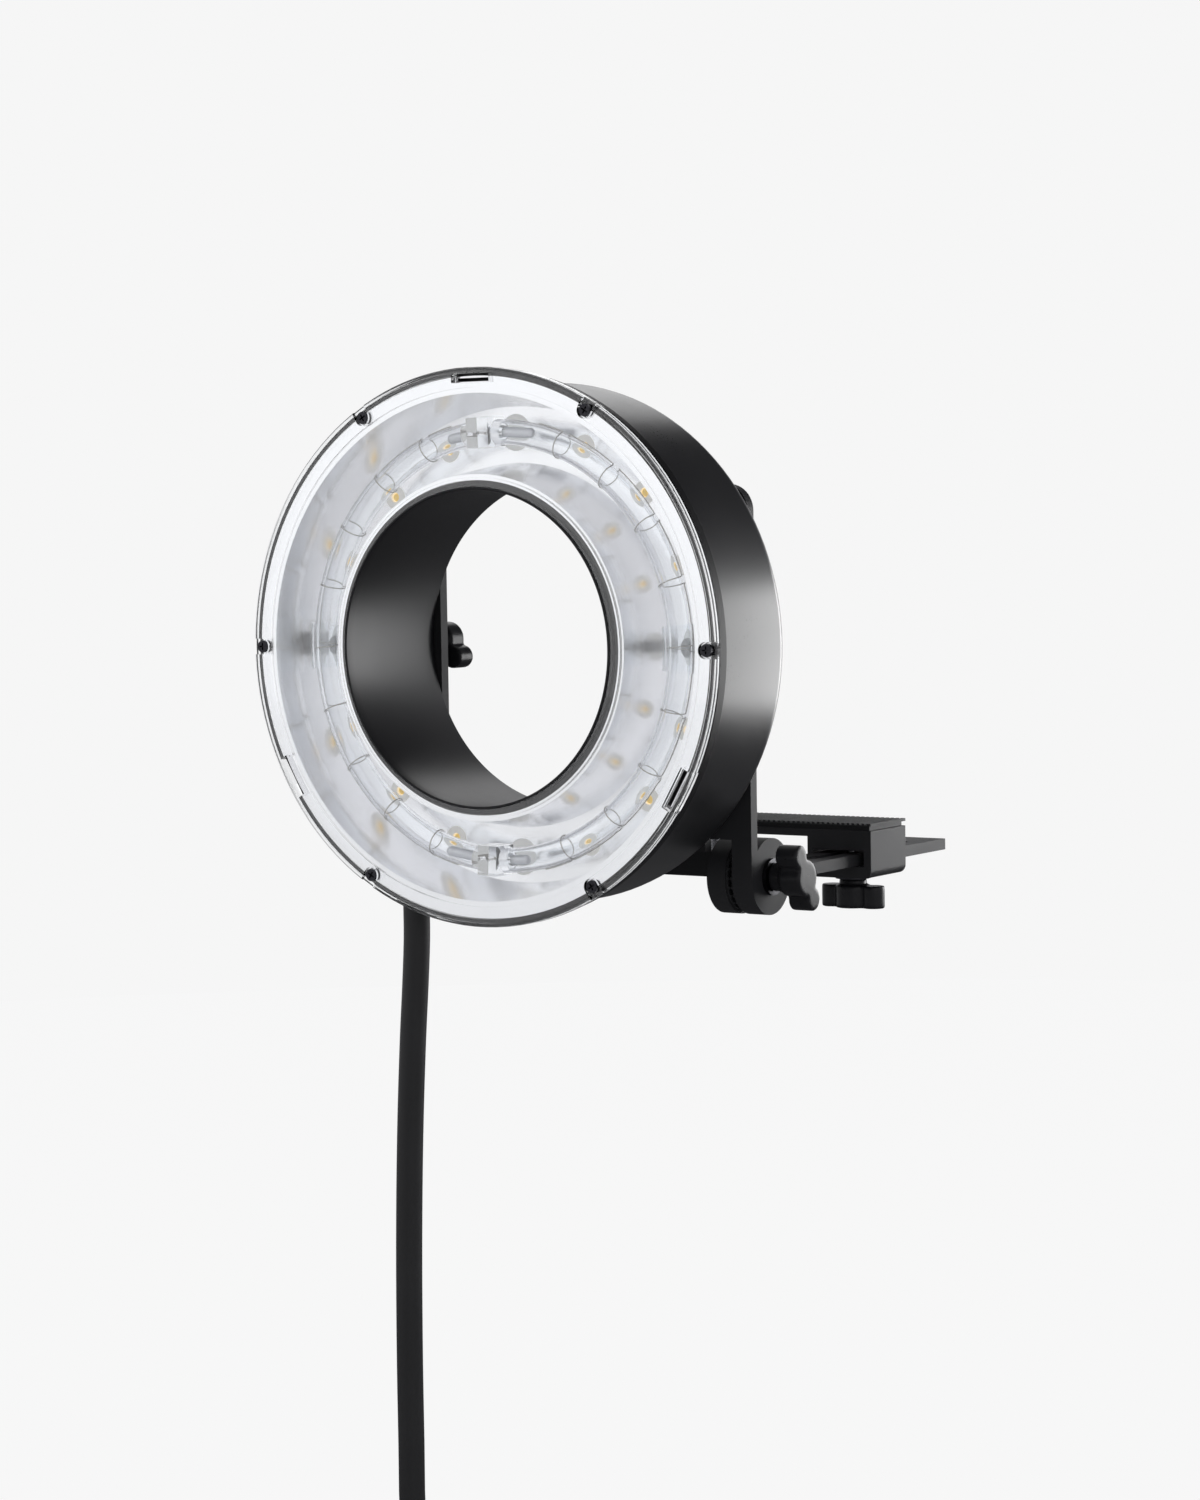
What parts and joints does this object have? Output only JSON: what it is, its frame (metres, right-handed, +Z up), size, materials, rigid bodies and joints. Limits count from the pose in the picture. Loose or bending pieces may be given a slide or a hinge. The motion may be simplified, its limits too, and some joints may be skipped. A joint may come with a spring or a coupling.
{
  "type": "ring flash",
  "caption": "Ring flash head with clear front, flash tubes and lamps in a polished reflector, on a tilting two-post bracket with a sliding camera plate and power cord.",
  "frame": {"origin": "on the camera screw's axis, level with the top of the camera plate's rubber pad", "axes": "+Z up along the camera screw, -Y the way the light shines, +X to the right seen from the front"},
  "size_m": [0.2086, 0.1975, 0.6005],
  "materials": {
    "clear_cover": "clear moulded, polished",
    "black_screws": "black oxide",
    "satin_black_plastic": "fine satin texture",
    "polished_reflector": "polished",
    "flash_glass": "clear",
    "electrode_metal": "dull grey metal",
    "clear_silicone": "clear, slightly cloudy",
    "pale_silicone": "matt",
    "nickel_wire": "bright drawn wire",
    "lamp_board": "white lacquer",
    "lamp_phosphor": "yellow phosphor dome",
    "lamp_ring_plastic": "frosted",
    "plain_steel": "bright zinc",
    "transformer": "lacquered winding",
    "terminals": "moulded",
    "brass": "turned",
    "black_rubber": "matt",
    "tie_strap": "woven",
    "plug_plastic": "fine texture",
    "black_anodised": "black anodised, satin",
    "pad_rubber": "ribbed, matt",
    "washer_steel": "dark zinc",
    "knob_plastic": "gloss moulded",
    "stud_steel": "zinc plated thread"
  },
  "bodies": {
    "camera_base": {"camera_plate": "black_anodised", "rubber_pad": "pad_rubber", "clamp_washers": "washer_steel"},
    "screw_slider": {"screw_washer": "plain_steel"},
    "camera_screw": {"camera_screw": "plain_steel"},
    "slide_fork": {"slide_fork": "black_anodised"},
    "yoke": {"yoke": "black_anodised", "hinge_washers": "washer_steel"},
    "ring": {"front_cover": "clear_cover", "cover_screws": "black_screws", "front_bezel": "satin_black_plastic", "outer_drum": "satin_black_plastic", "inner_barrel": "satin_black_plastic", "rear_cover": "satin_black_plastic", "rear_cover_screws": "black_screws", "reflector": "polished_reflector", "flash_tube_left": "flash_glass", "flash_tube_right": "flash_glass", "electrodes": "electrode_metal", "tube_leads": "electrode_metal", "tube_joiners": "clear_silicone", "tube_clips": "clear_silicone", "tube_legs": "pale_silicone", "trigger_wire_left": "nickel_wire", "trigger_wire_right": "nickel_wire", "lamp_board": "lamp_board", "lamps": "lamp_phosphor", "lamp_rings": "lamp_ring_plastic", "board_screws": "plain_steel", "trigger_transformer": "transformer", "terminal_block": "terminals", "knob_inserts": "brass", "strain_relief": "black_rubber", "cord": "black_rubber", "cord_coil": "black_rubber", "coil_tie": "tie_strap", "plug_boot": "black_rubber", "plug_shell": "plug_plastic", "plug_contacts": "brass", "ring_washers": "washer_steel"},
    "ring_knob_left": {"ring_wing_left": "knob_plastic", "ring_stud_left": "stud_steel"},
    "ring_knob_right": {"ring_wing_right": "knob_plastic", "ring_stud_right": "stud_steel"},
    "hinge_knob_left": {"hinge_wing_left": "knob_plastic", "hinge_stud_left": "stud_steel"},
    "hinge_knob_right": {"hinge_wing_right": "knob_plastic", "hinge_stud_right": "stud_steel"},
    "clamp_knob_left": {"clamp_wing_left": "knob_plastic", "clamp_stud_left": "stud_steel"},
    "clamp_knob_right": {"clamp_wing_right": "knob_plastic", "clamp_stud_right": "stud_steel"}
  },
  "joints": [
    {"name": "fork_slide", "type": "slide", "parent": "camera_base", "child": "slide_fork", "axis": [0, 1, 0], "range_m": [-0.035, 0.03]},
    {"name": "yoke_tilt", "type": "hinge", "parent": "slide_fork", "child": "yoke", "pos_m": [0, -0.0734, -0.013], "axis": [1, 0, 0], "range_deg": [-30, 30]},
    {"name": "ring_slide", "type": "slide", "parent": "yoke", "child": "ring", "axis": [0, 0, 1], "range_m": [-0.04, 0.04]},
    {"name": "camera_screw_shift", "type": "slide", "parent": "camera_base", "child": "screw_slider", "axis": [1, 0, 0], "range_m": [-0.015, 0.015]},
    {"name": "camera_screw_turn", "type": "hinge", "parent": "screw_slider", "child": "camera_screw", "pos_m": [0, 0, -0.01], "axis": [0, 0, -1], "continuous": true},
    {"name": "ring_knob_left_turn", "type": "hinge", "parent": "ring", "child": "ring_knob_left", "pos_m": [-0.0627, -0.075, 0.066], "axis": [0, 1, 0], "range_deg": [0, 450]},
    {"name": "hinge_knob_left_turn", "type": "hinge", "parent": "yoke", "child": "hinge_knob_left", "pos_m": [-0.08, -0.0734, -0.013], "axis": [-1, 0, 0], "range_deg": [0, 450]},
    {"name": "clamp_knob_left_turn", "type": "hinge", "parent": "camera_base", "child": "clamp_knob_left", "pos_m": [-0.0627, 0, -0.027], "axis": [0, 0, -1], "range_deg": [0, 450]},
    {"name": "ring_knob_right_turn", "type": "hinge", "parent": "ring", "child": "ring_knob_right", "pos_m": [0.0627, -0.075, 0.066], "axis": [0, 1, 0], "range_deg": [0, 450]},
    {"name": "hinge_knob_right_turn", "type": "hinge", "parent": "yoke", "child": "hinge_knob_right", "pos_m": [0.08, -0.0734, -0.013], "axis": [1, 0, 0], "range_deg": [0, 450]},
    {"name": "clamp_knob_right_turn", "type": "hinge", "parent": "camera_base", "child": "clamp_knob_right", "pos_m": [0.0627, 0, -0.027], "axis": [0, 0, -1], "range_deg": [0, 450]}
  ]
}
